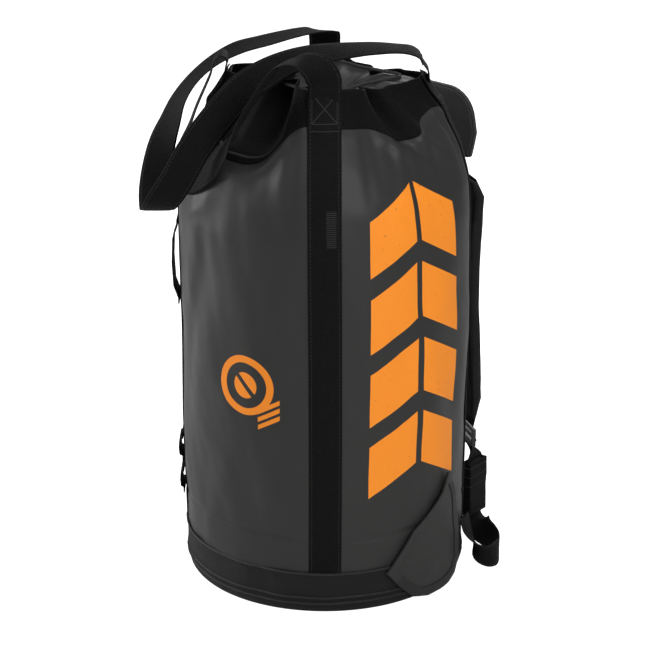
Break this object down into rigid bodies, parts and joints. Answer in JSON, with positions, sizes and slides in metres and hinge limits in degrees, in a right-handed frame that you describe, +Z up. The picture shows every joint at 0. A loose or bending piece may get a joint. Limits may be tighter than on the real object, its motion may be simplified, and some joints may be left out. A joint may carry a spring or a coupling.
{
  "type": "rope storage bag",
  "caption": "Tall round rope bag of coated fabric with a drawn-in mouth, webbing body straps, long carry loops, padded shoulder straps, a rear flap and bound side wings.",
  "frame": {"origin": "centre of the round base, on the ground", "axes": "+Z up; -Y the front panel, +Y the back panel with the shoulder straps, +X the right side"},
  "size_m": [0.4082, 0.4072, 0.6934],
  "materials": {
    "tarpaulin": "satin coated cloth",
    "base_fabric": "coarse matt nylon",
    "webbing": "woven nylon",
    "binding": "woven tape",
    "pad_fabric": "matt padded nylon",
    "cord": "braided",
    "buckle_plastic": "moulded acetal",
    "spring_steel": "plain"
  },
  "bodies": {
    "bag": {"body_shell": "tarpaulin", "base_band": "base_fabric", "base_disc": "base_fabric", "base_seam_piping": "binding", "base_edge_piping": "binding", "mouth_hem": "webbing", "inner_collar": "tarpaulin", "draw_cord": "cord", "front_right_strap": "webbing", "rear_right_strap": "webbing", "rear_left_strap": "webbing", "front_left_strap": "webbing", "gear_loops": "webbing", "back_panel": "base_fabric", "strap_anchor_tape": "webbing", "lower_webbing_right": "webbing", "lower_webbing_left": "webbing", "upper_tail_webbing_right": "webbing", "upper_tail_webbing_left": "webbing", "webbing_keeper_right": "webbing", "webbing_keeper_left": "webbing", "rolled_tail_right": "webbing", "rolled_tail_left": "webbing"},
    "front_handle": {"front_handle": "webbing"},
    "rear_handle": {"rear_handle": "webbing"},
    "flap": {"flap_panel": "base_fabric", "flap_binding": "binding"},
    "wing_right": {"wing_panel_right": "tarpaulin", "wing_binding_right": "binding"},
    "wing_left": {"wing_panel_left": "tarpaulin", "wing_binding_left": "binding"},
    "shoulder_strap_right": {"shoulder_pad_right": "pad_fabric", "pad_webbing_right": "webbing"},
    "shoulder_strap_left": {"shoulder_pad_left": "pad_fabric", "pad_webbing_left": "webbing"},
    "buckle_right": {"ladder_buckle_right": "buckle_plastic"},
    "buckle_left": {"ladder_buckle_left": "buckle_plastic"},
    "cord_lock": {"cord_lock_barrel": "buckle_plastic", "cord_lock_spring": "spring_steel"},
    "cord_lock_plunger": {"cord_lock_plunger": "buckle_plastic"}
  },
  "joints": [
    {"name": "front_handle_swing", "type": "hinge", "parent": "bag", "child": "front_handle", "pos_m": [0, -0.0836, 0.651], "axis": [-1, 0, 0], "range_deg": [0, 26]},
    {"name": "rear_handle_swing", "type": "hinge", "parent": "bag", "child": "rear_handle", "pos_m": [0, 0.0836, 0.651], "axis": [-1, 0, 0], "range_deg": [0, 26]},
    {"name": "flap_fold", "type": "hinge", "parent": "bag", "child": "flap", "pos_m": [0, 0.1868, 0.5128], "axis": [-1, 0, 0], "range_deg": [0, 95]},
    {"name": "wing_right_lift", "type": "hinge", "parent": "bag", "child": "wing_right", "pos_m": [0.1885, -0.0135, 0.1035], "axis": [-0.054, -0.6712, -0.7393], "range_deg": [0, 24]},
    {"name": "wing_left_lift", "type": "hinge", "parent": "bag", "child": "wing_left", "pos_m": [-0.1885, -0.0135, 0.1035], "axis": [-0.054, 0.6712, 0.7393], "range_deg": [0, 24]},
    {"name": "shoulder_strap_right_swing", "type": "hinge", "parent": "bag", "child": "shoulder_strap_right", "pos_m": [0.08742, 0.1644, 0.4995], "axis": [0.8829, -0.4695, 0], "range_deg": [0, 20]},
    {"name": "shoulder_strap_left_swing", "type": "hinge", "parent": "bag", "child": "shoulder_strap_left", "pos_m": [-0.08742, 0.1644, 0.4995], "axis": [0.8829, 0.4695, 0], "range_deg": [0, 20]},
    {"name": "buckle_right_tilt", "type": "hinge", "parent": "shoulder_strap_right", "child": "buckle_right", "pos_m": [0.09249, 0.17394, 0.1572], "axis": [0.8829, -0.4695, 0], "range_deg": [0, 25]},
    {"name": "buckle_left_tilt", "type": "hinge", "parent": "shoulder_strap_left", "child": "buckle_left", "pos_m": [-0.09249, 0.17394, 0.1572], "axis": [0.8829, 0.4695, 0], "range_deg": [0, 25]},
    {"name": "cord_lock_slide", "type": "slide", "parent": "bag", "child": "cord_lock", "axis": [0, 1, 0], "range_m": [-0.006, 0.006]},
    {"name": "cord_lock_press", "type": "slide", "parent": "cord_lock", "child": "cord_lock_plunger", "axis": [0, 0, -1], "range_m": [0, 0.0028], "stiffness_N_per_m": 600, "deforming": ["cord_lock_spring"]}
  ],
  "couplings": [
    {"joint": "front_handle_swing", "follows": "rear_handle_swing", "ratio": 1}
  ]
}
